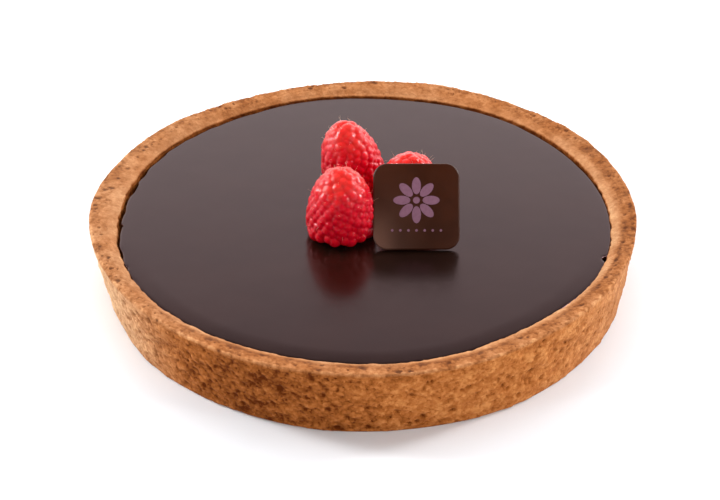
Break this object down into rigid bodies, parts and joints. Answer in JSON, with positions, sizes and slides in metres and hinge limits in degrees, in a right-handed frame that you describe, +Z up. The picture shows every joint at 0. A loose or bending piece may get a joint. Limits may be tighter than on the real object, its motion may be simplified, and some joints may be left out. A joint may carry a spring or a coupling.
{
  "type": "chocolate raspberry tart",
  "caption": "Round uncut tart with a straight-sided shortcrust shell, a smooth dark chocolate filling, whole raspberries and a thin square chocolate plaque that leans on them.",
  "frame": {"origin": "on the table, under the middle of the round shell", "axes": "+Z up, -Y to the front, which the plaque faces, +X to the right as seen from the front"},
  "size_m": [0.1811, 0.1811, 0.0488],
  "materials": {
    "crust": "dry, crumbly, browned",
    "chocolate": "smooth, satin gloss",
    "raspberry": "moist, slightly downy",
    "plaque": "satin, with a printed mauve motif"
  },
  "bodies": {
    "root": {"tart_shell": "crust", "chocolate_filling": "chocolate", "raspberry_front": "raspberry", "raspberry_back": "raspberry", "raspberry_right": "raspberry", "chocolate_plaque": "plaque"}
  },
  "joints": []
}
